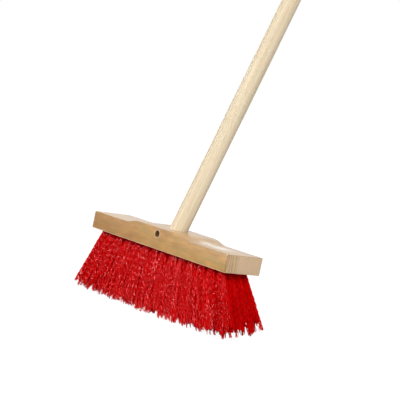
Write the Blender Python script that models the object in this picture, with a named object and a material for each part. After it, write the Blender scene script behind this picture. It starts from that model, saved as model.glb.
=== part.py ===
"""Push broom: a saddle-backed wooden block with four rows of flared plastic tufts,
a round wooden handle that leans back from the block, and the screw that holds it.

The frame's origin is on the plane that the bristle tips stand on, at the middle of the
broom's whole box. +X runs along the block, +Y points back, the way the handle leans, and +Z
is up. The pieces are first laid out round the middle of the block, and then moved there.
"""

import math

import bmesh
import bpy
from mathutils import Matrix, Vector

# Block: a plank with a raised saddle in the middle of its top.
BLOCK_LENGTH = 0.320
BLOCK_DEPTH = 0.074
BLOCK_BASE = 0.0990  # height of the block's underside above the bristle tips
END_HEIGHT = 0.0273
SADDLE_HEIGHT = 0.0331
SADDLE_TOP_HALF = 0.050  # half the length of the saddle's level top
SADDLE_FOOT_HALF = 0.080  # where its slopes meet the level ends
SLOPE_STEPS = 8
CORNER_RADIUS = 0.0025
CORNER_STEPS = 4
EDGE_CHAMFER = 0.0008

# Handle: a dowel in a blind socket that is bored back at an angle.
HANDLE_DIAMETER = 0.028
HANDLE_LENGTH = 1.400
HANDLE_LEAN = math.radians(19.3)
HANDLE_AXIS_Y = 0.0048  # where the handle's axis crosses the saddle's top
HANDLE_DOME = 0.009
DOME_STEPS = 7
HANDLE_CHAMFER = 0.0010
SOCKET_DEPTH = 0.0195  # along the handle's axis
ROUND_SIDES = 48

# Tufts: the rows from front to back, all on one square-set pattern.
ROWS = ("front", "inner_front", "inner_rear", "rear")
ROW_PITCH = 0.0150
TUFTS_IN_ROW = 14
TUFT_PITCH = 0.0215
TUFT_HOLE_RADIUS = 0.0050
TUFT_HOLE_DEPTH = 0.0090
TUFT_FAN_X = 1.20  # how much wider apart the tufts are at their tips
TUFT_FAN_Y = 1.45
TUFT_TIP_HALF = (0.0127, 0.0106)
TUFT_NECK = 0.0025  # straight length below the block before a tuft flares
TUFT_LEVELS = (0.3, 0.65, 1.0)
TUFT_FLARE = 0.8  # below 1 the tuft opens out quickest near the block
TUFT_SIDES = 12

# Fixing screw: in a counterbore in the block's front, through into the handle.
SCREW_HEIGHT = 0.0235  # above the block's underside
SCREW_RADIUS = 0.00225
SCREW_LENGTH = 0.0330  # under the head
SCREW_POINT = 0.0050
SCREW_HEAD_RADIUS = 0.0040
SCREW_HEAD_HEIGHT = 0.0028
SCREW_SIDES = 24
RECESS_WIDTH = 0.0010
RECESS_SPAN = 0.0046
RECESS_DEPTH = 0.0016
COUNTERBORE_RADIUS = 0.0053
COUNTERBORE_DEPTH = 0.0120

GAP = 0.0003  # between pieces that touch
CUT_BEYOND = 0.004  # how far a cutter runs out past the face it opens
SMOOTH_ANGLE = math.radians(35)

BEECH = (0.56, 0.36, 0.19)
PINE = (0.80, 0.66, 0.43)
RED = (0.56, 0.004, 0.010)
STEEL = (0.55, 0.55, 0.56)


def clear_scene():
    for old in list(bpy.data.objects):
        bpy.data.objects.remove(old, do_unlink=True)


def material(name, colour, roughness, metallic=0.0):
    made = bpy.data.materials.new(name)
    made.use_nodes = True
    made.diffuse_color = (*colour, 1.0)
    shader = made.node_tree.nodes["Principled BSDF"]
    shader.inputs["Base Color"].default_value = (*colour, 1.0)
    shader.inputs["Roughness"].default_value = roughness
    shader.inputs["Metallic"].default_value = metallic
    return made


def add_object(name, mesh, surface=None, parent=None):
    made = bpy.data.objects.new(name, mesh)
    bpy.context.scene.collection.objects.link(made)
    made.parent = parent
    if surface is not None:
        mesh.materials.append(surface)
    return made


def finished_mesh(name, bm):
    """The bmesh as a mesh with its faces pointing out, smooth between its sharp edges."""
    bmesh.ops.recalc_face_normals(bm, faces=bm.faces)
    mesh = bpy.data.meshes.new(name)
    bm.to_mesh(mesh)
    bm.free()
    mesh.shade_smooth()
    mesh.set_sharp_from_angle(angle=SMOOTH_ANGLE)
    return mesh


def add_loft(bm, rings):
    """A closed body through rings of equally many points, with a flat cap at each end."""
    loops = [[bm.verts.new(point) for point in ring] for ring in rings]
    for low, high in zip(loops, loops[1:]):
        for i in range(len(low)):
            j = (i + 1) % len(low)
            bm.faces.new((low[i], low[j], high[j], high[i]))
    bm.faces.new(list(reversed(loops[0])))
    bm.faces.new(loops[-1])


def circle(radius, sides):
    """Points round a circle in the XY plane, starting on +X."""
    turns = [2 * math.pi * i / sides for i in range(sides)]
    return [Vector((radius * math.cos(t), radius * math.sin(t), 0.0)) for t in turns]


def lathed_mesh(name, profile, sides):
    """A round body about +Z through (radius, height) pairs, listed from bottom to top."""
    bm = bmesh.new()
    add_loft(bm, [[p + Vector((0, 0, z)) for p in circle(r, sides)] for r, z in profile])
    return finished_mesh(name, bm)


def cut(target, cutter):
    """Takes the cutter's shape out of the target, and keeps the cutter as a hidden guide."""
    cutter.hide_render = True
    cutter.display_type = "WIRE"
    made = target.modifiers.new(cutter.name, "BOOLEAN")
    made.operation = "DIFFERENCE"
    made.solver = "EXACT"
    made.object = cutter


# ---------------------------------------------------------------- block


def block_top(x):
    """Height of the block's top above its underside, at x along it."""
    along = (abs(x) - SADDLE_TOP_HALF) / (SADDLE_FOOT_HALF - SADDLE_TOP_HALF)
    ease = 0.5 + 0.5 * math.cos(math.pi * min(max(along, 0.0), 1.0))
    return END_HEIGHT + (SADDLE_HEIGHT - END_HEIGHT) * ease


def block_front_chain(inset):
    """Plan points along the front of the block, left to right, with rounded corners."""
    radius = CORNER_RADIUS - inset
    centre_x = BLOCK_LENGTH / 2 - CORNER_RADIUS
    centre_y = -BLOCK_DEPTH / 2 + CORNER_RADIUS
    turns = [math.pi / 2 * i / CORNER_STEPS for i in range(CORNER_STEPS + 1)]
    corner = [
        (centre_x + radius * math.cos(t), centre_y - radius * math.sin(t)) for t in turns
    ]
    span = SADDLE_FOOT_HALF - SADDLE_TOP_HALF
    slope = [SADDLE_TOP_HALF + span * i / SLOPE_STEPS for i in range(SLOPE_STEPS + 1)]
    middle = [-x for x in reversed(slope)] + slope
    left = [(-x, y) for x, y in corner]
    return left + [(x, centre_y - radius) for x in middle] + corner[::-1]


def block_mesh():
    """The plank with its saddle, chamfered along its top and bottom edges."""
    bm = bmesh.new()
    levels = (
        (EDGE_CHAMFER, lambda x: 0.0),
        (0.0, lambda x: EDGE_CHAMFER),
        (0.0, lambda x: block_top(x) - EDGE_CHAMFER),
        (EDGE_CHAMFER, block_top),
    )
    rings = []
    for inset, height in levels:
        front = block_front_chain(inset)
        outline = front + [(x, -y) for x, y in reversed(front)]
        rings.append([bm.verts.new((x, y, height(x))) for x, y in outline])
    count = len(rings[0])
    for low, high in zip(rings, rings[1:]):
        for i in range(count):
            j = (i + 1) % count
            bm.faces.new((low[i], low[j], high[j], high[i]))
    bm.faces.new(list(reversed(rings[0])))
    top = rings[-1]
    for i in range(count // 2 - 1):
        bm.faces.new((top[i], top[i + 1], top[count - 2 - i], top[count - 1 - i]))
    return finished_mesh("broom_block", bm)


# ---------------------------------------------------------------- tufts


def tuft_places():
    """Each tuft's name, and where it leaves the block."""
    for row, row_name in enumerate(ROWS):
        y = (row - (len(ROWS) - 1) / 2) * ROW_PITCH
        for i in range(TUFTS_IN_ROW):
            x = (i - (TUFTS_IN_ROW - 1) / 2) * TUFT_PITCH
            yield f"tuft_{row_name}_{i + 1:02d}", x, y


def tuft_path(x, y):
    """Where a tuft leaves the block, and the middle of its tips."""
    mouth = Vector((x, y, BLOCK_BASE))
    tip = Vector((x * TUFT_FAN_X, y * TUFT_FAN_Y, 0.0))
    return mouth, tip


def tuft_turn(mouth, tip):
    """The smallest turn that takes straight down to the tuft's direction."""
    return Vector((0, 0, -1)).rotation_difference(tip - mouth)


def rounded_cell(half_x, half_y, squareness, sides):
    """Points of a superellipse: squareness 2 is an ellipse, more is nearer a rectangle."""
    points = []
    for unit in circle(1.0, sides):
        reach = (abs(unit.x) ** squareness + abs(unit.y) ** squareness) ** (-1 / squareness)
        points.append(Vector((half_x * unit.x * reach, half_y * unit.y * reach, 0.0)))
    return points


def tuft_mesh(name, mouth, tip):
    """A round stub for the hole, opening out to the patch of floor that the tips cover."""
    radius = TUFT_HOLE_RADIUS - GAP
    turn = tuft_turn(mouth, tip)
    along = (tip - mouth).normalized()
    stub = [turn @ point for point in circle(radius, TUFT_SIDES)]
    rings = [[point + along * end for point in stub] for end in (GAP - TUFT_HOLE_DEPTH, TUFT_NECK)]
    for level in TUFT_LEVELS:
        opened = level**TUFT_FLARE
        half = [radius + (reach - radius) * opened for reach in TUFT_TIP_HALF]
        centre = along * TUFT_NECK * (1 - level) + (tip - mouth) * level
        rings.append([centre + p for p in rounded_cell(*half, 2 + 2 * level, TUFT_SIDES)])
    bm = bmesh.new()
    add_loft(bm, rings)
    return finished_mesh(name, bm)


def add_tufts(surface, parent):
    for name, x, y in tuft_places():
        mouth, tip = tuft_path(x, y)
        tuft = add_object(name, tuft_mesh(name, mouth, tip), surface, parent)
        tuft.location = mouth


def tuft_hole_cutter():
    """All the blind tuft holes, each drilled along its own tuft's direction."""
    bm = bmesh.new()
    for _, x, y in tuft_places():
        mouth, tip = tuft_path(x, y)
        along = (tip - mouth).normalized()
        turn = tuft_turn(mouth, tip)
        rim = [mouth + turn @ point for point in circle(TUFT_HOLE_RADIUS, TUFT_SIDES)]
        ends = (-TUFT_HOLE_DEPTH, CUT_BEYOND)
        add_loft(bm, [[point + along * end for point in rim] for end in ends])
    return add_object("cutter_tuft_holes", finished_mesh("cutter_tuft_holes", bm))


# ---------------------------------------------------------------- handle and screw


def handle_frame():
    """The frame at the handle's lower end, with +Z up along the handle."""
    lean = Matrix.Rotation(-HANDLE_LEAN, 4, "X")
    crossing = Vector((0.0, HANDLE_AXIS_Y, BLOCK_BASE + SADDLE_HEIGHT))
    along = lean @ Vector((0, 0, 1))
    return Matrix.Translation(crossing - along * SOCKET_DEPTH) @ lean


def handle_mesh():
    """A long dowel with a chamfered lower end and a domed upper end."""
    radius = HANDLE_DIAMETER / 2
    straight = HANDLE_LENGTH - HANDLE_DOME
    profile = [(radius - HANDLE_CHAMFER, GAP), (radius, GAP + HANDLE_CHAMFER)]
    for i in range(DOME_STEPS):
        turn = math.pi / 2 * i / DOME_STEPS
        profile.append((radius * math.cos(turn), straight + HANDLE_DOME * math.sin(turn)))
    return lathed_mesh("handle", profile, ROUND_SIDES)


def socket_cutter():
    profile = [(HANDLE_DIAMETER / 2 + GAP, z) for z in (0.0, SOCKET_DEPTH * 2)]
    made = add_object("cutter_socket", lathed_mesh("cutter_socket", profile, ROUND_SIDES))
    made.matrix_world = handle_frame()
    return made


def screw_frame():
    """The frame on the block's front face at the screw, with +Z pointing in."""
    spot = Vector((0.0, -BLOCK_DEPTH / 2, BLOCK_BASE + SCREW_HEIGHT))
    return Matrix.Translation(spot) @ Matrix.Rotation(-math.pi / 2, 4, "X")


def screw_mesh():
    """A pan-head wood screw, head first, measured in from the block's front face."""
    seat = COUNTERBORE_DEPTH - GAP
    head = SCREW_HEAD_RADIUS
    tip = seat + SCREW_LENGTH
    profile = [
        (head * 0.55, seat - SCREW_HEAD_HEIGHT),
        (head * 0.88, seat - SCREW_HEAD_HEIGHT * 0.78),
        (head, seat - SCREW_HEAD_HEIGHT * 0.35),
        (head, seat),
        (SCREW_RADIUS, seat),
        (SCREW_RADIUS, tip - SCREW_POINT),
        (SCREW_RADIUS * 0.12, tip),
    ]
    return lathed_mesh("fixing_screw", profile, SCREW_SIDES)


def screw_recess_cutter():
    """The cross recess in the screw's head."""
    bottom = COUNTERBORE_DEPTH - GAP - SCREW_HEAD_HEIGHT + RECESS_DEPTH
    wide, narrow = RECESS_SPAN / 2, RECESS_WIDTH / 2
    arm = [Vector((narrow, narrow, 0)), Vector((narrow, wide, 0)), Vector((-narrow, wide, 0))]
    turns = [Matrix.Rotation(quarter * math.pi / 2, 3, "Z") for quarter in range(4)]
    cross = [turn @ corner for turn in turns for corner in arm]
    bm = bmesh.new()
    add_loft(bm, [[corner + Vector((0, 0, z)) for corner in cross] for z in (0.0, bottom)])
    return add_object("cutter_recess", finished_mesh("cutter_recess", bm))


def screw_bore_cutter():
    """The counterbore and the screw's own hole, through the block's wall into the handle."""
    hole = SCREW_RADIUS + GAP
    end = COUNTERBORE_DEPTH + SCREW_LENGTH + GAP
    profile = [
        (COUNTERBORE_RADIUS, -CUT_BEYOND),
        (COUNTERBORE_RADIUS, COUNTERBORE_DEPTH),
        (hole, COUNTERBORE_DEPTH),
        (hole, end),
    ]
    made = add_object("cutter_screw", lathed_mesh("cutter_screw", profile, SCREW_SIDES))
    made.matrix_world = screw_frame()
    return made


# ---------------------------------------------------------------- the broom


def centre_in_frame(broom):
    """Moves the whole broom along Y, so that the middle of its box is at the origin."""
    bpy.context.view_layer.update()
    pieces = [piece for piece in broom.children if not piece.hide_render]
    reach = [(piece.matrix_world @ v.co).y for piece in pieces for v in piece.data.vertices]
    broom.location.y = -(min(reach) + max(reach)) / 2


def build():
    clear_scene()
    beech = material("beech", BEECH, 0.55)
    pine = material("pine", PINE, 0.45)
    red = material("red_bristle", RED, 0.35)
    steel = material("steel", STEEL, 0.35, metallic=1.0)
    broom = add_object("push_broom", None)

    block = add_object("broom_block", block_mesh(), beech, broom)
    block.location.z = BLOCK_BASE
    handle = add_object("handle", handle_mesh(), pine, broom)
    handle.matrix_world = handle_frame()
    screw = add_object("fixing_screw", screw_mesh(), steel, broom)
    screw.matrix_world = screw_frame()

    recess = screw_recess_cutter()
    recess.matrix_world = screw_frame()
    cut(screw, recess)
    screw_bore = screw_bore_cutter()
    cut(handle, screw_bore)
    tuft_holes, socket = tuft_hole_cutter(), socket_cutter()
    for cutter in (tuft_holes, socket, screw_bore):
        cut(block, cutter)
    for cutter in (recess, screw_bore, tuft_holes, socket):
        cutter.parent = broom
    add_tufts(red, broom)
    centre_in_frame(broom)


build()
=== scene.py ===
"""Looks of the push broom: crimped plastic bristles, a varnished wooden block, a pale wooden
handle and the screw between them, on a pale floor in soft studio light.

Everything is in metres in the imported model's frame: +X along the block, +Y the way the
handle leans, +Z up, with the bristle tips at z = 0. The broom and the camera are laid out
round the middle of the block, and MIDDLE moves them to where the frame has it.
"""

import math

import bmesh
import bpy
import numpy as np
from mathutils import Matrix, Vector


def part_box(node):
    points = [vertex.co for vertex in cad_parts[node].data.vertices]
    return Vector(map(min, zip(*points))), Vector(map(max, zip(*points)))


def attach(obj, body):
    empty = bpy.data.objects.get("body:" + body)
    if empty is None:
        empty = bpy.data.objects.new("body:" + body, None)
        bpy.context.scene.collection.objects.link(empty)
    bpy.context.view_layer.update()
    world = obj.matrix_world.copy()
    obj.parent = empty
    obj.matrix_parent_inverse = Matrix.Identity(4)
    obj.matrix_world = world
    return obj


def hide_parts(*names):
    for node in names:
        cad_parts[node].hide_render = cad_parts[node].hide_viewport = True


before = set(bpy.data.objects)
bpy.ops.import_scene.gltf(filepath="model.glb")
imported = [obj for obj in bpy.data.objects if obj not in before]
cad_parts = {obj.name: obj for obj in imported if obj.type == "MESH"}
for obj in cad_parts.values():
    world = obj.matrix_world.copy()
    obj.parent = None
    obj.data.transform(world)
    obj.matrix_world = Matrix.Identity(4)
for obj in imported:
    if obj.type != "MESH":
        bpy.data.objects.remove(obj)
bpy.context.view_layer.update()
BLOCK_LOW, BLOCK_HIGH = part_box("broom_block")
SCREW_LOW, SCREW_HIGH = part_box("fixing_screw")
SEED = 27

# Block, as its CAD solid: the saddle's slopes ease between the level top and the ends.
MIDDLE = Matrix.Translation((0, (BLOCK_LOW.y + BLOCK_HIGH.y) / 2, 0))
BLOCK_HALF = BLOCK_HIGH.x
BLOCK_FRONT = (BLOCK_LOW.y - BLOCK_HIGH.y) / 2
UNDERSIDE = BLOCK_LOW.z
SADDLE_TOP = BLOCK_HIGH.z
END_TOP = UNDERSIDE + 0.0273
SADDLE_TOP_HALF = 0.050
SADDLE_FOOT_HALF = 0.080
SLOPE_STEPS = 24
CORNER_RADIUS = 0.0025
CORNER_STEPS = 8
EDGE_RADIUS = 0.0013
EDGE_STEPS = 4
TUFT_HOLE_RADIUS = 0.0050
TUFT_HOLE_DEPTH = 0.0090
COUNTERBORE_RADIUS = 0.0053
COUNTERBORE_DEPTH = 0.0120
SCREW_BORE_RADIUS = 0.0026
SCREW_BORE_DEPTH = 0.0333  # beyond the counterbore
CUT_BEYOND = 0.004
ROUND_SIDES = 48  # of the screw's holes
TUFT_HOLE_SIDES = 32
SHARP_EDGE = math.radians(35)

# Marks on the block's wood, and a painted reflection on its top
# The patch on top is smoother varnish, painted pale as a reflection.
SHEEN_PATCH = ((0.097, 0.027), (-0.001, 0.013))  # on top: its middle and half its size, x and y
SHEEN_FADE = (-0.005, 0.012)  # where its edge fades, from half its size
SADDLE_BAND = (0.017, 0.003, 0.008)  # across y on the saddle: middle, half width, end of its fade
TORN_RIM = (0.0008, 0.0018)  # round the screw's hole, where it begins and ends to fade
FRONT_RINGS = (0.018, 0.027)  # the ends' rings show this far behind the front, and fade out
END_RING = 0.0052  # between those rings

# Handle
HANDLE_RADIUS = 0.014
HANDLE_LENGTH = 1.400
HANDLE_LEAN = math.radians(19.3)
HANDLE_AXIS_Y = 0.0048
HANDLE_DOME = 0.009
HANDLE_CHAMFER = 0.001
SOCKET_DEPTH = 0.0195
HANDLE_SIDES = 96
HANDLE_STEPS = 20
FIRST_STEP = 0.02  # the height of the first of those
DOME_STEPS = 16
GAP = 0.0003

# Bristles: all about one length, so the tips of those that splay most lie highest.
TUFTS_IN_ROW = 14
OUTER_ROW = 0.0225  # from the middle of the block to its front and rear rows
OUTER_TUFT = 0.14  # and to the last tufts of a row
END_MARGIN = 0.030  # a tuft rooted nearer than this to an end is the last of its row
NEAR_TIPS = 0.001  # a tuft's CAD solid below this is its face of tips
BRISTLES = 90  # in each tuft
UNEVEN_TURN = 0.12  # how far each is out of its even place in the tuft
BRISTLE_RADIUS = 0.00050
BRISTLE_TIP = 0.7  # the share of that radius at the very tip
BRISTLE_SIDES = 4
BRISTLE_LENGTH = UNDERSIDE + 0.0045
BRISTLE_STEP = 0.0016
TIP_HALF = (0.0180, 0.0130)  # half the patch of floor that a tuft's tips cover
TIP_CROWD = 0.2  # above 0 the tips stand further apart in the middle
TIP_SCATTER = 0.0014
END_TIP_RADIUS = 0.0130  # the round patch of the last tufts of a row
END_TIP_INNER = 1.5  # how much longer it is towards the next tuft
END_TIP_CROWD = 0.15
END_TIP_SCATTER = 0.0005
FLARE = 0.48  # below 1 a tuft opens out quickest near the block, on its inner sides
END_FLARE = 0.32  # the same for the last tufts of a row
WANDER = 0.0011  # how far a bristle strays from its line
END_WANDER = 0.0004
WANDER_TURNS = (5.0, 15.0)  # by how many radians it does so to and fro along its length
WANDER_FROM = 0.25  # and by what share of its length it does so in full

# Wear, and painted shade on the bristles
SET_BY_USE = (0.012, 0.004)  # how far use has bent the tips towards +X and +Y
SET_POWER = 1.5  # above 1 they bend most near the tips
FANNED_BY_USE = 0.10  # and how much further apart, for each metre along the block
WORN_SHORT = 0.005  # lost length for each metre along the block, towards +X
WORN_REAR = 0.004  # lost besides by the rearmost row
WORN_CORNER = 0.007  # and by its tufts towards +X
UNEVEN_LENGTH = 0.02  # the share of its length that a single bristle may lack
DULLED_BY_USE = (0.25, 0.20, 0.16, 0.13, 0.10)  # gloss of most tufts, and the last to +X
# Painted shade darkens the plastic towards +X and just below the block.
SHADE_PAINTED_TOWARDS_END = (0.13, 0.165)  # where the plastic's colour darkens along the block
ROOT_PAINTED_SHADE = (0.009, 0.001)  # and where it does so below the block

# Locks: clumps of bristles whose tips are drawn together. The last tufts to +X have their own.
LOCKS = 28
WORN_LOCKS = 14
LOCKED_FROM = 0.76  # the share of a bristle's length where they begin to draw together
WORN_LOCKED_FROM = 0.64
LOCK_PULL = (0.65, 0.95)  # how much of the way to the middle of its lock a tip is drawn
LOCK_POWER = 1.3  # above 1 they draw together most near the tips
RAGGED = 0.010  # how much shorter a lock may be than its neighbours
WORN_RAGGED = 0.021
RAGGED_POWER = 1.5  # above 1 few locks are that much shorter

# Waves
CRIMP_LENGTH = 0.0097
CRIMP_LENGTHS = (0.96, 1.04)  # shares of that length, from one bristle to another
CRIMP_HEIGHT = 0.0013
CRIMP_HEIGHTS = (0.6, 1.0)  # shares of that height
TURN_APART = (0.8, 0.4)  # how far waves turn from one another: by lock, and within one
PHASE_APART = (0.9, 0.35)  # how far they are out of step: by lock, and within one
CRIMP_GROWS = 0.006  # the length over which the waves rise, beyond the hole
CRIMP_FADES = (0.85, 0.02)  # where they fall: at a share of the free length, over a length
TIP_CRIMP = 0.5  # the share of their height left at the tips
CALM = 0.7  # how much less the outermost bristles at the ends wave
CALM_SPAN = (0.3, 0.8)  # where it begins and is full, from the tuft's middle to its outside


# ---------------------------------------------------------------- helpers


def add_piece(name, mesh, surface, replaced, place=MIDDLE):
    """A finished mesh as a piece of the broom, standing for the CAD node that it replaces."""
    piece = bpy.data.objects.new(name, mesh)
    bpy.context.scene.collection.objects.link(piece)
    piece.matrix_world = place
    mesh.materials.append(surface)
    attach(piece, "root")
    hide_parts(replaced)
    return piece


def add_loft(bm, rings):
    """A closed body through rings of equally many points, with a flat cap at each end."""
    loops = [[bm.verts.new(point) for point in ring] for ring in rings]
    for low, high in zip(loops, loops[1:]):
        for i in range(len(low)):
            j = (i + 1) % len(low)
            bm.faces.new((low[i], low[j], high[j], high[i]))
    bm.faces.new(list(reversed(loops[0])))
    bm.faces.new(loops[-1])


def circle(radius, sides):
    turns = [2 * math.pi * i / sides for i in range(sides)]
    return [Vector((radius * math.cos(t), radius * math.sin(t), 0.0)) for t in turns]


def finished_mesh(name, bm):
    bmesh.ops.recalc_face_normals(bm, faces=bm.faces)
    mesh = bpy.data.meshes.new(name)
    bm.to_mesh(mesh)
    bm.free()
    mesh.shade_smooth()
    mesh.set_sharp_from_angle(angle=SHARP_EDGE)
    return mesh


def lathed(name, profile, sides):
    bm = bmesh.new()
    add_loft(bm, [[p + Vector((0, 0, z)) for p in circle(r, sides)] for r, z in profile])
    return finished_mesh(name, bm)


def cut_away(piece, cutters, surface):
    """Takes closed cutter meshes, each with its place, out of a piece's mesh for good, and
    gives the walls that they leave a surface of their own."""
    made = []
    for mesh, place in cutters:
        mesh.materials.append(surface)
        cutter = bpy.data.objects.new(mesh.name, mesh)
        bpy.context.scene.collection.objects.link(cutter)
        cutter.matrix_world = place
        made.append(cutter)
        cut = piece.modifiers.new(mesh.name, "BOOLEAN")
        cut.operation = "DIFFERENCE"
        cut.solver = "EXACT"
        cut.material_mode = "TRANSFER"
        cut.object = cutter
    bpy.context.view_layer.update()
    shown = piece.evaluated_get(bpy.context.evaluated_depsgraph_get())
    result = bpy.data.meshes.new_from_object(shown)
    piece.modifiers.clear()
    piece.data = result
    for cutter in made:
        bpy.data.objects.remove(cutter)


# ---------------------------------------------------------------- materials

# Tones, as linear red, green and blue
BEECH_TAN = (0.552, 0.298, 0.084)
BEECH_RED = (0.374, 0.184, 0.051)
BEECH_OLIVE = (0.400, 0.270, 0.080)
BEECH_LATE = (0.325, 0.180, 0.057)
BEECH_FIBRE = (0.335, 0.180, 0.060)
BEECH_RAY = (0.265, 0.142, 0.045)
# painted light on the top
PAINTED_LIGHT_TOP = (0.74, 0.50, 0.28)
REDDER_SIDE = (0.30, 0.13, 0.035)
# painted shade on the rounded upright corners
CORNER_PAINTED_SHADE = (0.28, 0.16, 0.065)
EDGE_ABOVE = (0.30, 0.19, 0.075)
# painted light on the lower rounded edges
EDGE_BELOW_PAINTED_LIGHT = (0.95, 0.66, 0.45)
TORN_PALE = (0.66, 0.50, 0.33)
# painted reflection on the top
PAINTED_SHEEN = (0.98, 0.87, 0.75)
BAND_BROWN = (0.50, 0.31, 0.14)
SAWN_PALE = (0.715, 0.53, 0.36)
SAWN_RING = (0.40, 0.25, 0.10)
SAWN_SPECK = (0.30, 0.20, 0.12)
HOLE_BROWN = (0.25, 0.13, 0.055)
HOLE_DARK = (0.13, 0.065, 0.025)
PINE_PALE = (0.725, 0.635, 0.462)
PINE_STREAK = (0.625, 0.53, 0.365)
PINE_BLUSH = (0.715, 0.56, 0.42)
PINE_LATE = (0.60, 0.45, 0.28)
PINE_FIBRE = (0.50, 0.38, 0.22)
RED_DEEP = (0.66, 0.0002, 0.0005)
RED_BRIGHT = (0.75, 0.0004, 0.0010)
RED_GRAIN = (0.60, 0.0002, 0.0005)
# painted shade just below the block
RED_ROOT_SHADE = (0.25, 0.0002, 0.0004)
# painted shade towards +X
RED_END_SHADE = (0.50, 0.0002, 0.0004)
RED_GLEAM = (1.0, 0.32, 0.34)
STEEL = (0.55, 0.55, 0.56)
STEEL_SCRATCH = (0.38, 0.37, 0.36)


class Nodes:
    """Short calls for building one node tree."""

    def __init__(self, tree):
        self.tree = tree

    def node(self, kind, **settings):
        made = self.tree.nodes.new(kind)
        for key, value in settings.items():
            setattr(made, key, value)
        return made

    def feed(self, socket, value):
        if isinstance(value, bpy.types.NodeSocket):
            self.tree.links.new(value, socket)
        elif socket.type == "RGBA":
            socket.default_value = (*value, 1.0)
        else:
            socket.default_value = value

    def math(self, operation, *values):
        made = self.node("ShaderNodeMath", operation=operation)
        for socket, value in zip(made.inputs, values):
            self.feed(socket, value)
        return made.outputs[0]

    def times(self, first, second):
        return self.math("MULTIPLY", first, second)

    def away(self, value, middle):
        return self.math("ABSOLUTE", self.math("SUBTRACT", value, middle))

    def reach(self, across, up):
        squares = [self.math("POWER", side, 2.0) for side in (across, up)]
        return self.math("SQRT", self.math("ADD", *squares))

    def split(self, vector):
        made = self.node("ShaderNodeSeparateXYZ")
        self.feed(made.inputs[0], vector)
        return made.outputs

    def position(self, order=(0, 1, 2)):
        """Object coordinates in metres, with the grain's direction first."""
        split = self.split(self.node("ShaderNodeTexCoord").outputs["Object"])
        return self.vector(*[split[i] for i in order])

    def vector(self, x, y, z):
        made = self.node("ShaderNodeCombineXYZ")
        for socket, value in zip(made.inputs, (x, y, z)):
            self.feed(socket, value)
        return made.outputs[0]

    def scaled(self, vector, scale, offset=(0, 0, 0)):
        made = self.node("ShaderNodeMapping")
        self.feed(made.inputs["Vector"], vector)
        made.inputs["Scale"].default_value = scale
        made.inputs["Location"].default_value = offset
        return made.outputs[0]

    def noise(self, vector, detail=2.0, roughness=0.5):
        made = self.node("ShaderNodeTexNoise")
        self.feed(made.inputs["Vector"], vector)
        for key, value in (("Scale", 1.0), ("Detail", detail), ("Roughness", roughness)):
            made.inputs[key].default_value = value
        return made.outputs["Fac"]

    def span(self, value, low, high, to_low=0.0, to_high=1.0):
        """The value's range low..high stretched to to_low..to_high, and held beyond it."""
        made = self.node("ShaderNodeMapRange")
        for socket, number in zip(made.inputs, (value, low, high, to_low, to_high)):
            self.feed(socket, number)
        return made.outputs[0]

    def mix(self, share, first, second):
        made = self.node("ShaderNodeMix", data_type="RGBA")
        self.feed(made.inputs["Factor"], share)
        colour_a, colour_b = [s for s in made.inputs if s.type == "RGBA"]
        self.feed(colour_a, first)
        self.feed(colour_b, second)
        return next(s for s in made.outputs if s.type == "RGBA")


class Surface(Nodes):
    """One material, by its shader."""

    def __init__(self, name):
        self.material = bpy.data.materials.new(name)
        self.material.use_nodes = True
        super().__init__(self.material.node_tree)
        self.shader = self.tree.nodes["Principled BSDF"]

    def bump(self, height, distance):
        made = self.node("ShaderNodeBump")
        made.inputs["Distance"].default_value = distance
        self.feed(made.inputs["Height"], height)
        self.feed(self.shader.inputs["Normal"], made.outputs[0])

    def set(self, **inputs):
        """Shader inputs by name, with _ for a space."""
        for key, value in inputs.items():
            self.feed(self.shader.inputs[key.replace("_", " ")], value)


def growth_rings(s, grain, pith, period, wander):
    """0 to 1 through each year's growth, round a pith line that runs along the grain."""
    slow = s.noise(s.scaled(grain, (3.0, 26.0, 26.0)), detail=2.0)
    across, up = [s.math("SUBTRACT", side, at) for side, at in zip(s.split(grain)[1:3], pith)]
    bent = s.math("MULTIPLY_ADD", slow, wander, s.reach(across, up))
    return s.math("FRACT", s.math("DIVIDE", bent, period))


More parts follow.
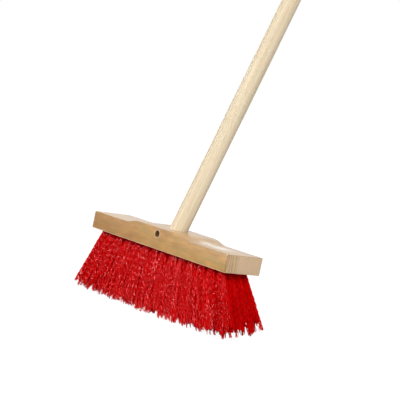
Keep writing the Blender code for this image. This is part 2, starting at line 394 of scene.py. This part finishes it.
def beech():
    """Varnished beech: tan with red and olive mottling, fine fibres and short rays, with painted
    light on its top and lower edges, a painted reflection on top and painted shade at its upright
    corners.
    """
    s = Surface("beech")
    grain = s.position()
    ring = growth_rings(s, grain, pith=(0.30, 0.06), period=0.0046, wander=0.016)
    late = s.span(ring, 0.55, 0.98)
    mottle = s.noise(s.scaled(grain, (38.0, 130.0, 130.0)), detail=3.0)
    olive = s.noise(s.scaled(grain, (26.0, 90.0, 120.0), (3.1, 1.7, 0.4)), detail=3.0)
    fibre = s.noise(s.scaled(grain, (30.0, 1500.0, 1500.0)), detail=3.0, roughness=0.6)
    ray = s.noise(s.scaled(grain, (260.0, 1900.0, 1100.0)), detail=1.0)
    tone = s.mix(s.span(mottle, 0.35, 0.68), BEECH_TAN, BEECH_RED)
    tone = s.mix(s.span(olive, 0.48, 0.66, 0.0, 0.75), tone, BEECH_OLIVE)
    tone = s.mix(s.times(late, 0.28), tone, BEECH_LATE)
    tone = s.mix(s.span(fibre, 0.35, 0.75, 0.0, 0.22), tone, BEECH_FIBRE)
    tone = s.mix(s.span(ray, 0.62, 0.70, 0.0, 0.25), tone, BEECH_RAY)

    place = s.split(grain)
    facing = s.split(s.node("ShaderNodeTexCoord").outputs["Normal"])
    top = s.span(facing[2], 0.90, 0.96)
    side = s.span(s.math("ABSOLUTE", facing[2]), 0.1, 0.3, 1.0, 0.0)
    endward = s.math("ABSOLUTE", facing[0])
    tone = edge_tones(s, tone, facing)
    # painted light: the top is painted paler, most towards -X
    paler = s.span(place[0], -0.10, -0.03, 0.62, 0.4)
    tone = s.mix(s.times(top, paler), tone, PAINTED_LIGHT_TOP)
    redder = s.times(s.span(place[0], -0.14, -0.005, 0.5, 0.0), side)
    tone = s.mix(redder, tone, REDDER_SIDE)
    tone = torn_rim(s, tone, place, facing)
    tone, smooth_sheen = sheen_patch(s, tone, place, top)
    tone = saddle_band(s, tone, place, top)
    sawn = sawn_end(s, tone, place)
    # painted shade: the rounded upright corners are painted darker brown
    corner = s.times(s.span(endward, 0.1, 0.35, 0.0, 0.6), side)
    tone = s.mix(corner, tone, CORNER_PAINTED_SHADE)
    s.set(Base_Color=s.mix(s.span(endward, 0.75, 0.95), tone, sawn))
    s.set(Roughness=s.times(s.span(fibre, 0.3, 0.8, 0.38, 0.55),
                            s.span(smooth_sheen, 0.0, 1.0, 1.0, 0.25)))
    s.set(Coat_Weight=0.6, Coat_Roughness=0.2, Specular_IOR_Level=0.14)
    s.bump(s.math("ADD", fibre, s.times(late, 0.6)), 0.00006)
    return s.material


def edge_tones(s, tone, facing):
    """Darker rounded edges above, and pale ones below: painted light where the bristles shade them.
    """
    upright = s.math("ABSOLUTE", facing[2])
    above = s.times(s.span(facing[2], 0.12, 0.25), s.span(facing[2], 0.55, 0.80, 1.0, 0.0))
    tone = s.mix(s.times(above, 0.6), tone, EDGE_ABOVE)
    # painted light: the lower rounded edges are painted pale
    rounded = s.times(s.span(upright, 0.15, 0.5), s.span(upright, 0.80, 0.94, 1.0, 0.0))
    below = s.times(rounded, s.span(facing[2], -0.1, -0.3))
    return s.mix(below, tone, EDGE_BELOW_PAINTED_LIGHT)


def torn_rim(s, tone, place, facing):
    """Pale torn fibres round the screw's hole in the front."""
    up = s.math("SUBTRACT", place[2], (SCREW_LOW.z + SCREW_HIGH.z) / 2)
    begin, end = [COUNTERBORE_RADIUS + beyond for beyond in TORN_RIM]
    torn = s.times(s.span(facing[1], -0.5, -0.9),
                   s.span(s.reach(place[0], up), begin, end, 0.6, 0.0))
    return s.mix(torn, tone, TORN_PALE)


def sheen_patch(s, tone, place, top):
    """A smoother patch of varnish on top, with a painted reflection in its pale colour, and its
    shape as 0 to 1.
    """
    ragged = s.noise(s.scaled(s.position(), (60.0, 120.0, 60.0)), detail=2.0)
    patch = top
    for side, (middle, half) in zip(place, SHEEN_PATCH):
        off = s.math("MULTIPLY_ADD", ragged, 0.012, s.away(side, middle))
        begin, end = [half + beyond for beyond in SHEEN_FADE]
        patch = s.times(patch, s.span(off, begin, end, 1.0, 0.0))
    # painted reflection: the patch's colour is painted pale
    return s.mix(s.times(patch, 0.70), tone, PAINTED_SHEEN), patch


def saddle_band(s, tone, place, top):
    """A darker band along the rear of the saddle's top."""
    middle, half, fade = SADDLE_BAND
    band = s.span(s.away(place[1], middle), half, fade, 1.0, 0.0)
    band = s.times(s.times(band, top), s.span(place[2], END_TOP + 0.0005, END_TOP + 0.002))
    return s.mix(s.times(band, 0.7), tone, BAND_BROWN)


def sawn_end(s, tone, place):
    """The wood where it is sawn across the grain: paler and greyer, with the rings as stripes
    near the front corner and dark specks along the top."""
    pale = s.mix(0.80, tone, SAWN_PALE)
    begin, end = [BLOCK_FRONT + behind for behind in FRONT_RINGS]
    near_front = s.span(place[1], begin, end, 1.0, 0.15)
    wavy = s.noise(s.scaled(s.position(), (20.0, 150.0, 35.0)), detail=2.0)
    rings = s.math("MULTIPLY_ADD", wavy, 0.008, place[1])
    rings = s.math("SINE", s.times(rings, 2 * math.pi / END_RING))
    stripe = s.times(near_front, s.span(rings, -0.1, 0.8, 0.25, 0.9))
    pale = s.mix(stripe, pale, SAWN_RING)
    specks = s.noise(s.scaled(s.position(), (300.0, 260.0, 420.0)), detail=2.0)
    near_top = s.span(place[2], END_TOP - 0.007, END_TOP - 0.002)
    specks = s.times(s.times(s.span(specks, 0.56, 0.64), near_top), 0.6)
    return s.mix(specks, pale, SAWN_SPECK)


def drilled_wood():
    """The rough brown walls of the holes in the block."""
    s = Surface("drilled_wood")
    torn = s.noise(s.scaled(s.position(), (700.0, 700.0, 700.0)), detail=3.0)
    s.set(Base_Color=s.mix(torn, HOLE_BROWN, HOLE_DARK))
    s.set(Roughness=s.span(torn, 0.3, 0.7, 0.75, 0.95), Specular_IOR_Level=0.2)
    s.bump(torn, 0.0002)
    return s.material


def pine():
    """The handle's pale wood, with soft streaks along it."""
    s = Surface("pine")
    grain = s.position((2, 0, 1))
    ring = growth_rings(s, grain, pith=(-0.035, 0.020), period=0.0038, wander=0.012)
    late = s.span(ring, 0.45, 0.95)
    streak = s.noise(s.scaled(grain, (5.0, 300.0, 300.0)), detail=2.0)
    blush = s.noise(s.scaled(grain, (26.0, 120.0, 120.0), (5.0, 2.0, 1.0)), detail=2.0)
    fibre = s.noise(s.scaled(grain, (18.0, 1100.0, 1100.0)), detail=3.0, roughness=0.6)
    tone = s.mix(s.span(streak, 0.38, 0.62), PINE_PALE, PINE_STREAK)
    tone = s.mix(s.span(blush, 0.48, 0.66, 0.0, 0.7), tone, PINE_BLUSH)
    tone = s.mix(s.times(late, 0.25), tone, PINE_LATE)
    tone = s.mix(s.span(fibre, 0.4, 0.8, 0.0, 0.3), tone, PINE_FIBRE)
    s.set(Base_Color=tone, Roughness=s.span(fibre, 0.3, 0.8, 0.48, 0.6))
    s.set(Specular_IOR_Level=0.02)
    s.bump(s.math("ADD", fibre, s.times(late, 0.5)), 0.00004)
    return s.material


def red_plastic(gloss):
    """Moulded red bristle plastic, each bristle a little its own shade, with painted shade that
    darkens it just below the block and towards +X."""
    s = Surface("red_plastic")
    own = s.node("ShaderNodeAttribute", attribute_name="own_shade").outputs["Fac"]
    grain = s.noise(s.scaled(s.position(), (900.0, 900.0, 300.0)), detail=2.0)
    tone = s.mix(own, RED_DEEP, RED_BRIGHT)
    tone = s.mix(s.span(grain, 0.4, 0.7, 0.0, 0.25), tone, RED_GRAIN)
    place = s.split(s.position())
    # painted shade: the bristles are darker just below the block
    begin, end = [UNDERSIDE - below for below in ROOT_PAINTED_SHADE]
    root_shade = s.span(place[2], begin, end, 0.0, 0.3)
    tone = s.mix(root_shade, tone, RED_ROOT_SHADE)
    # painted shade: the bristles are darker towards +X
    worn = s.span(place[0], *SHADE_PAINTED_TOWARDS_END, 0.0, 0.6)
    tone = s.mix(worn, tone, RED_END_SHADE)
    s.set(Base_Color=tone, Roughness=s.span(grain, 0.3, 0.7, 0.16, 0.27))
    s.set(Specular_IOR_Level=gloss, Specular_Tint=RED_GLEAM)
    s.bump(grain, 0.00001)
    return s.material


def plated_steel():
    s = Surface("plated_steel")
    scratch = s.noise(s.scaled(s.position(), (3000.0, 3000.0, 400.0)), detail=3.0)
    s.set(Base_Color=s.mix(scratch, STEEL, STEEL_SCRATCH))
    s.set(Roughness=s.span(scratch, 0.3, 0.7, 0.22, 0.45), Metallic=1.0)
    s.bump(scratch, 0.00002)
    return s.material


# ---------------------------------------------------------------- block


def block_top(x):
    """Height of the block's top at x along it."""
    along = (abs(x) - SADDLE_TOP_HALF) / (SADDLE_FOOT_HALF - SADDLE_TOP_HALF)
    ease = 0.5 + 0.5 * math.cos(math.pi * min(max(along, 0.0), 1.0))
    return END_TOP + (SADDLE_TOP - END_TOP) * ease


def block_front_chain(inset):
    """Plan points along the front of the block, left to right, with rounded corners."""
    radius = CORNER_RADIUS - inset
    centre_x = BLOCK_HALF - CORNER_RADIUS
    centre_y = BLOCK_FRONT + CORNER_RADIUS
    turns = [math.pi / 2 * i / CORNER_STEPS for i in range(CORNER_STEPS + 1)]
    corner = [
        (centre_x + radius * math.cos(t), centre_y - radius * math.sin(t)) for t in turns
    ]
    span = SADDLE_FOOT_HALF - SADDLE_TOP_HALF
    slope = [SADDLE_TOP_HALF + span * i / SLOPE_STEPS for i in range(SLOPE_STEPS + 1)]
    middle = [-x for x in reversed(slope)] + slope
    left = [(-x, y) for x, y in corner]
    return left + [(x, centre_y - radius) for x in middle] + corner[::-1]


def block_mesh():
    """The plank with its saddle, rounded over along its top and bottom edges."""
    turns = [math.pi / 2 * i / EDGE_STEPS for i in range(EDGE_STEPS + 1)]
    rounding = [(EDGE_RADIUS * (1 - math.sin(t)), EDGE_RADIUS * (1 - math.cos(t))) for t in turns]
    levels = [(inset, lambda x, up=up: UNDERSIDE + up) for inset, up in rounding]
    levels += [(inset, lambda x, down=down: block_top(x) - down) for inset, down in rounding[::-1]]
    bm = bmesh.new()
    rings = []
    for inset, height in levels:
        front = block_front_chain(inset)
        outline = front + [(x, -y) for x, y in reversed(front)]
        rings.append([bm.verts.new((x, y, height(x))) for x, y in outline])
    count = len(rings[0])
    for low, high in zip(rings, rings[1:]):
        for i in range(count):
            j = (i + 1) % count
            bm.faces.new((low[i], low[j], high[j], high[i]))
    for ring in (rings[0], rings[-1]):
        for i in range(count // 2 - 1):
            bm.faces.new((ring[i], ring[i + 1], ring[count - 2 - i], ring[count - 1 - i]))
    return finished_mesh("block", bm)


def tuft_hole_cutter(tufts):
    """Every tuft's blind hole, drilled along its own direction."""
    bm = bmesh.new()
    for root, tip in tufts.values():
        along = (tip - root).normalized()
        turn = Vector((0, 0, -1)).rotation_difference(along)
        mouth = root + along * (root.z - UNDERSIDE) / -along.z
        rim = [mouth + turn @ point for point in circle(TUFT_HOLE_RADIUS, TUFT_HOLE_SIDES)]
        add_loft(bm, [[p + along * end for p in rim] for end in (-TUFT_HOLE_DEPTH, CUT_BEYOND)])
    return finished_mesh("tuft_holes", bm)


def make_block(tufts):
    piece = add_piece("block", block_mesh(), beech(), "broom_block")
    socket = lathed("socket", [(HANDLE_RADIUS + GAP, z) for z in (0.0, SOCKET_DEPTH * 2)],
                    HANDLE_SIDES)
    counterbore = lathed(
        "counterbore",
        [
            (COUNTERBORE_RADIUS, -CUT_BEYOND),
            (COUNTERBORE_RADIUS, COUNTERBORE_DEPTH),
            (SCREW_BORE_RADIUS, COUNTERBORE_DEPTH),
            (SCREW_BORE_RADIUS, COUNTERBORE_DEPTH + SCREW_BORE_DEPTH),
        ],
        ROUND_SIDES,
    )
    cut_away(piece, [
        (tuft_hole_cutter(tufts), MIDDLE),
        (socket, handle_frame()),
        (counterbore, screw_frame()),
    ], drilled_wood())
    piece.data.shade_smooth()
    piece.data.set_sharp_from_angle(angle=SHARP_EDGE)


# ---------------------------------------------------------------- handle and screw


def handle_frame():
    """The frame at the handle's lower end, with +Z up along the handle."""
    lean = Matrix.Rotation(-HANDLE_LEAN, 4, "X")
    crossing = Vector((0.0, HANDLE_AXIS_Y, SADDLE_TOP))
    along = lean @ Vector((0, 0, 1))
    return MIDDLE @ Matrix.Translation(crossing - along * SOCKET_DEPTH) @ lean


def screw_frame():
    """The frame on the block's front face at the screw, with +Z pointing in."""
    height = (SCREW_LOW.z + SCREW_HIGH.z) / 2
    spot = Vector((0.0, BLOCK_FRONT, height))
    return MIDDLE @ Matrix.Translation(spot) @ Matrix.Rotation(-math.pi / 2, 4, "X")


def make_handle():
    straight = HANDLE_LENGTH - HANDLE_DOME
    step = straight / HANDLE_STEPS
    profile = [(HANDLE_RADIUS - HANDLE_CHAMFER, GAP), (HANDLE_RADIUS, GAP + HANDLE_CHAMFER)]
    profile += [(HANDLE_RADIUS, FIRST_STEP + step * i) for i in range(HANDLE_STEPS)]
    for i in range(DOME_STEPS):
        turn = math.pi / 2 * i / DOME_STEPS
        profile.append((HANDLE_RADIUS * math.cos(turn), straight + HANDLE_DOME * math.sin(turn)))
    mesh = lathed("dowel_handle", profile, HANDLE_SIDES)
    add_piece("dowel_handle", mesh, pine(), "handle", handle_frame())


def dress_screw():
    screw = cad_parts["fixing_screw"]
    screw.data.materials.clear()
    screw.data.materials.append(plated_steel())


# ---------------------------------------------------------------- bristles


def tuft_line(name):
    """The end of a tuft's line in its hole, and the middle of its tips, from its CAD solid,
    measured from the middle of the block."""
    home = MIDDLE.inverted()
    points = [home @ v.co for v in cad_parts[name].data.vertices]
    top = max(p.z for p in points)
    root = [p for p in points if p.z > (UNDERSIDE + top) / 2]
    tips = [p for p in points if p.z < NEAR_TIPS]
    middles = []
    for group in (root, tips):
        low = Vector([min(p[i] for p in group) for i in range(3)])
        high = Vector([max(p[i] for p in group) for i in range(3)])
        middles.append((low + high) / 2)
    return middles


def disc_spread(count, rng):
    """Points spread evenly over the unit disc, a little out of step."""
    i = np.arange(count)
    radius = np.sqrt((i + 0.5) / count)
    turn = i * math.pi * (3 - math.sqrt(5)) + rng.uniform(0, 2 * math.pi)
    turn = turn + rng.normal(0, UNEVEN_TURN, count)
    return np.stack([radius * np.cos(turn), radius * np.sin(turn)], axis=1)


def disc_to_square(disc):
    """Pushes points of the unit disc out to fill the unit square."""
    reach = np.maximum(np.abs(disc).max(axis=1), 1e-6)
    length = np.linalg.norm(disc, axis=1)
    return disc * (length / reach)[:, None]


def ramp(value, low, high):
    """0 up to low, 1 from high on, and even between them."""
    return np.clip((value - low) / (high - low), 0, 1)


def level(flat):
    """Level offsets x, y as x, y, 0."""
    return np.concatenate([flat, np.zeros(flat.shape[:-1] + (1,))], axis=-1)


class Tuft:
    """Where one tuft grows, from its line in the hole to the middle of its tips."""

    def __init__(self, root, tip):
        self.root = root
        self.tip = tip
        self.axis = np.array(tip - root)
        self.axis /= np.linalg.norm(self.axis)
        self.mouth = np.array(root) + self.axis * (root.z - UNDERSIDE) / -self.axis[2]
        self.bend = np.array((SET_BY_USE[0] + FANNED_BY_USE * root.x, SET_BY_USE[1], 0.0))
        self.last_in_row = abs(root.x) > BLOCK_HALF - END_MARGIN
        self.worn_end = self.last_in_row and root.x > 0


def tip_offsets(tuft, disc, rng):
    """Level offsets of the tips: a rounded square, or a round patch for the last of a row."""
    out = np.linalg.norm(disc, axis=1)[:, None]
    if not tuft.last_in_row:
        square = disc_to_square(disc * out**-TIP_CROWD)
        return square * TIP_HALF + rng.normal(0, TIP_SCATTER, (BRISTLES, 2))
    end = disc * out**-END_TIP_CROWD * END_TIP_RADIUS
    end[disc[:, 0] * tuft.root.x < 0, 0] *= END_TIP_INNER
    return end + rng.normal(0, END_TIP_SCATTER, (BRISTLES, 2))


def worn_lengths(tuft, lock, rng):
    """Each bristle's length, after wear, which takes most from the rear corner to +X."""
    ragged = WORN_RAGGED if tuft.worn_end else RAGGED
    shorter = rng.uniform(0, 1, LOCKS)[lock] ** RAGGED_POWER * ragged
    x, y = tuft.root.x, tuft.root.y
    rear = (y / OUTER_ROW + 1) / 2
    corner = max(x, 0) * max(y, 0) / (OUTER_TUFT * OUTER_ROW)
    worn = WORN_SHORT * (x + BLOCK_HALF) + WORN_REAR * rear + WORN_CORNER * corner
    return (BRISTLE_LENGTH - worn - shorter) * (1 - rng.uniform(0, UNEVEN_LENGTH, BRISTLES))


def flares(tuft, end):
    """The power by which each bristle opens out along x and y: 1 on the rows' outer sides."""
    out = [np.sign(end[:, i]) == math.copysign(1, tuft.root[i]) for i in range(2)]
    inner = END_FLARE if tuft.last_in_row else FLARE
    in_x = np.where(out[0] & tuft.last_in_row, 1.0, inner)
    in_y = np.where(out[1] & (abs(tuft.root.y) > OUTER_ROW / 2), 1.0, FLARE)
    return np.stack([in_x, in_y], axis=1)


def bristle_paths(tuft, rng):
    """One tuft's bristles: an array of bristle, step, xyz for their centre lines, the number of
    each bristle's lock, and how much less than the rest it waves."""
    disc = disc_spread(BRISTLES, rng)
    start = disc * (TUFT_HOLE_RADIUS - GAP - BRISTLE_RADIUS)
    end = tip_offsets(tuft, disc, rng)
    locks = end[rng.permutation(BRISTLES)[:WORN_LOCKS if tuft.worn_end else LOCKS]]
    lock = np.linalg.norm(end[:, None] - locks[None], axis=2).argmin(axis=1)
    pull = rng.uniform(*LOCK_PULL, BRISTLES)[:, None]

    reach = np.linalg.norm(level(end) + tuft.tip + tuft.bend - tuft.mouth, axis=1)
    length = np.minimum(worn_lengths(tuft, lock, rng), reach)
    steps = int(BRISTLE_LENGTH / BRISTLE_STEP)
    t = np.linspace(0, 1, steps + 1)[None, :] * (length / reach)[:, None]

    spread = t[..., None] ** flares(tuft, end)[:, None]
    locked_from = WORN_LOCKED_FROM if tuft.worn_end else LOCKED_FROM
    drawn = ramp(t, locked_from, 1)[..., None]
    gather = drawn**LOCK_POWER * pull[:, None]
    open_end = end[:, None] * (1 - gather) + locks[lock][:, None] * gather
    flat = start[:, None] * (1 - spread) + open_end * spread
    turn = rng.uniform(0, 2 * math.pi, (BRISTLES, 1, 2))
    swing = rng.uniform(*WANDER_TURNS, (BRISTLES, 1, 2))
    wander = END_WANDER if tuft.last_in_row else WANDER
    flat += wander * np.sin(swing * t[..., None] + turn) * ramp(t, 0, WANDER_FROM)[..., None]

    centre = tuft.mouth + (np.array(tuft.tip) - tuft.mouth) * t[..., None]
    centre += tuft.bend * t[..., None] ** (1.0 if tuft.last_in_row else SET_POWER)
    in_hole = level(start) + tuft.root
    outward = disc[:, 0] * np.sign(tuft.root.x)
    calm = ramp(outward, *CALM_SPAN) * CALM * tuft.last_in_row
    return np.concatenate([in_hole[:, None], centre + level(flat)], axis=1), lock, calm


def crimped(paths, axis, lock, calm, rng):
    """Adds each bristle's wave, much the same all through its lock, and gives the direction
    that it waves in."""
    count = len(paths)
    lengths = np.linalg.norm(np.diff(paths, axis=1), axis=2)
    along = np.concatenate([np.zeros((count, 1)), np.cumsum(lengths, axis=1)], axis=1)
    turn = rng.uniform(0, 2 * math.pi) + rng.normal(0, TURN_APART[0], LOCKS)[lock]
    turn = turn + rng.normal(0, TURN_APART[1], count)
    across = np.stack([np.cos(turn), np.sin(turn), np.zeros(count)], axis=1)
    across -= (across @ axis)[:, None] * axis
    across /= np.linalg.norm(across, axis=1)[:, None]
    pitch = CRIMP_LENGTH * rng.uniform(*CRIMP_LENGTHS, count)[:, None]
    phase = rng.uniform(0, 2 * math.pi) + rng.normal(0, PHASE_APART[0], LOCKS)[lock]
    phase = (phase + rng.normal(0, PHASE_APART[1], count))[:, None]
    height = (CRIMP_HEIGHT * rng.uniform(*CRIMP_HEIGHTS, count) * (1 - calm))[:, None]
    fades = UNDERSIDE * CRIMP_FADES[0]
    grow = ramp(along, TUFT_HOLE_DEPTH, TUFT_HOLE_DEPTH + CRIMP_GROWS)
    grow *= 1 - (1 - TIP_CRIMP) * ramp(along, fades, fades + CRIMP_FADES[1])
    wave = np.sin(2 * math.pi * along / pitch + phase) * height * grow
    return paths + wave[..., None] * across[:, None], across


def tube_mesh(name, lines, across, rng):
    """Every line as a closed tube, all in one mesh, with a shade of its own on each."""
    count, steps = lines.shape[:2]
    tangent = np.gradient(lines, axis=1)
    tangent /= np.linalg.norm(tangent, axis=2)[..., None]
    first = across[:, None] - (across[:, None] * tangent).sum(axis=2)[..., None] * tangent
    first /= np.linalg.norm(first, axis=2)[..., None]
    second = np.cross(tangent, first)
    width = np.full(steps, BRISTLE_RADIUS)
    width[-1] *= BRISTLE_TIP
    turns = 2 * math.pi * np.arange(BRISTLE_SIDES) / BRISTLE_SIDES
    ring = (
        first[:, :, None] * np.cos(turns)[:, None] + second[:, :, None] * np.sin(turns)[:, None]
    )
    points = lines[:, :, None] + ring * width[None, :, None, None]

    i = np.arange(BRISTLE_SIDES)
    j = (i + 1) % BRISTLE_SIDES
    low = np.arange(steps - 1)[:, None] * BRISTLE_SIDES
    sides = np.stack([low + i, low + j, low + BRISTLE_SIDES + j, low + BRISTLE_SIDES + i], axis=2)
    last = (steps - 1) * BRISTLE_SIDES
    faces = np.concatenate([sides.reshape(-1, 4), i[::-1][None], last + i[None]])
    faces = faces[None] + (np.arange(count) * steps * BRISTLE_SIDES)[:, None, None]

    mesh = bpy.data.meshes.new(name)
    mesh.from_pydata(points.reshape(-1, 3), [], faces.reshape(-1, 4))
    shade = mesh.attributes.new("own_shade", "FLOAT", "POINT")
    shade.data.foreach_set("value", np.repeat(rng.uniform(0, 1, count), steps * BRISTLE_SIDES))
    mesh.shade_smooth()
    return mesh


def make_bristles(tufts):
    surfaces = [red_plastic(gloss) for gloss in DULLED_BY_USE]
    for number, (name, (root, tip)) in enumerate(sorted(tufts.items())):
        rng = np.random.default_rng(SEED + number)
        tuft = Tuft(root, tip)
        paths, lock, calm = bristle_paths(tuft, rng)
        lines, across = crimped(paths, tuft.axis, lock, calm, rng)
        mesh = tube_mesh(name.replace("tuft", "bristles"), lines, across, rng)
        tufts_after = TUFTS_IN_ROW - int(name[-2:])
        surface = surfaces[max(len(surfaces) - 1 - tufts_after, 0)]
        add_piece(mesh.name, mesh, surface, name)


# ---------------------------------------------------------------- stage, light and camera

# How bright the white surround is for soft light, and mirrored in gloss anywhere but behind
# the broom; the camera sees 1.
SKY_FOR_DIFFUSE = 0.70
SKY_FOR_GLOSS = 0.12
BEHIND_BROOM = (-0.73, 0.68, 0.0)
FLOOR_HALF = 60.0
FLOOR_BELOW_TIPS = 0.0004
FLOOR_GREY = (0.65, 0.65, 0.65)
FLOOR_SEEN = (0.12, 0.12, 0.12)  # what the camera sees of it, besides its glow
FLOOR_GLOW = 0.95  # for the camera only
WHITE = (1.0, 1.0, 1.0)

# Camera
CAMERA_AZIMUTH = math.radians(46.73)
CAMERA_ELEVATION = math.radians(4.04)
CAMERA_ROLL = math.radians(12.01)
CAMERA_DISTANCE = 2.021
CAMERA_AIM = Vector((0.0181, 0.0192, 0.1852))
CAMERA_LENS = 117.32


def make_floor():
    """A pale floor that the camera sees as white all over."""
    bm = bmesh.new()
    bmesh.ops.create_grid(bm, x_segments=1, y_segments=1, size=FLOOR_HALF)
    floor = bpy.data.objects.new("floor", finished_mesh("floor", bm))
    floor.location.z = -FLOOR_BELOW_TIPS
    floor.visible_glossy = False
    bpy.context.scene.collection.objects.link(floor)
    s = Surface("pale_floor")
    seen = s.node("ShaderNodeLightPath").outputs["Is Camera Ray"]
    s.set(Base_Color=s.mix(seen, FLOOR_GREY, FLOOR_SEEN), Roughness=0.9)
    s.set(Emission_Color=WHITE, Emission_Strength=s.times(seen, FLOOR_GLOW))
    s.set(Specular_IOR_Level=0.0)
    floor.data.materials.append(s.material)


def make_surround():
    """White all round, dimmer as soft light and, except behind the broom, in gloss."""
    world = bpy.data.worlds.new("white_surround")
    world.use_nodes = True
    bpy.context.scene.world = world
    n = Nodes(world.node_tree)
    ray = n.node("ShaderNodeLightPath").outputs
    behind = n.node("ShaderNodeVectorMath", operation="DOT_PRODUCT")
    n.feed(behind.inputs[0], n.node("ShaderNodeTexCoord").outputs["Generated"])
    n.feed(behind.inputs[1], BEHIND_BROOM)
    gloss = n.span(behind.outputs["Value"], 0.3, 0.8, SKY_FOR_GLOSS - 1.0, 0.0)
    soft = n.math("MULTIPLY_ADD", ray["Is Diffuse Ray"], SKY_FOR_DIFFUSE - 1.0, 1.0)
    background = world.node_tree.nodes["Background"]
    n.feed(background.inputs["Strength"], n.math("MULTIPLY_ADD", ray["Is Glossy Ray"], gloss, soft))
    n.feed(background.inputs["Color"], WHITE)


def add_sun(name, strength, width, toward):
    """A lamp of a width in degrees, shining from a direction."""
    sun = bpy.data.lights.new(name, "SUN")
    sun.energy = strength
    sun.angle = math.radians(width)
    lamp = bpy.data.objects.new(name, sun)
    lamp.rotation_mode = "QUATERNION"
    lamp.rotation_quaternion = Vector(toward).to_track_quat("Z", "Y")
    bpy.context.scene.collection.objects.link(lamp)
    return lamp


def make_lights():
    """Soft light from the front right and a little from behind, and a smaller lamp on the left
    that shows only in gloss, as spots on the bristles' waves."""
    add_sun("key", 2.0, 30.0, (0.42, -0.77, 0.48)).visible_glossy = False
    add_sun("fill", 0.6, 60.0, (-0.50, 0.77, 0.40)).visible_glossy = False
    add_sun("gleam", 17.5, 12.0, (-0.36, -0.85, 0.34)).visible_diffuse = False
    bpy.context.scene.view_settings.view_transform = "Standard"


def make_camera():
    """A long lens from the front right, just above the block, held at a slant."""
    level_part = math.cos(CAMERA_ELEVATION)
    back = Vector((
        math.sin(CAMERA_AZIMUTH) * level_part,
        -math.cos(CAMERA_AZIMUTH) * level_part,
        math.sin(CAMERA_ELEVATION),
    ))
    lens = bpy.data.cameras.new("camera")
    lens.lens = CAMERA_LENS
    lens.sensor_width = 36.0
    lens.clip_start, lens.clip_end = 0.05, 200.0
    camera = bpy.data.objects.new("camera", lens)
    turn = (-back).to_track_quat("-Z", "Y").to_matrix().to_4x4()
    spot = Matrix.Translation(CAMERA_AIM + back * CAMERA_DISTANCE)
    camera.matrix_world = MIDDLE @ spot @ turn @ Matrix.Rotation(CAMERA_ROLL, 4, "Z")
    bpy.context.scene.collection.objects.link(camera)
    bpy.context.scene.camera = camera


make_camera()
make_floor()
make_surround()
make_lights()
tufts = {name: tuft_line(name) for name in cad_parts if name.startswith("tuft")}
make_block(tufts)
make_handle()
dress_screw()
make_bristles(tufts)
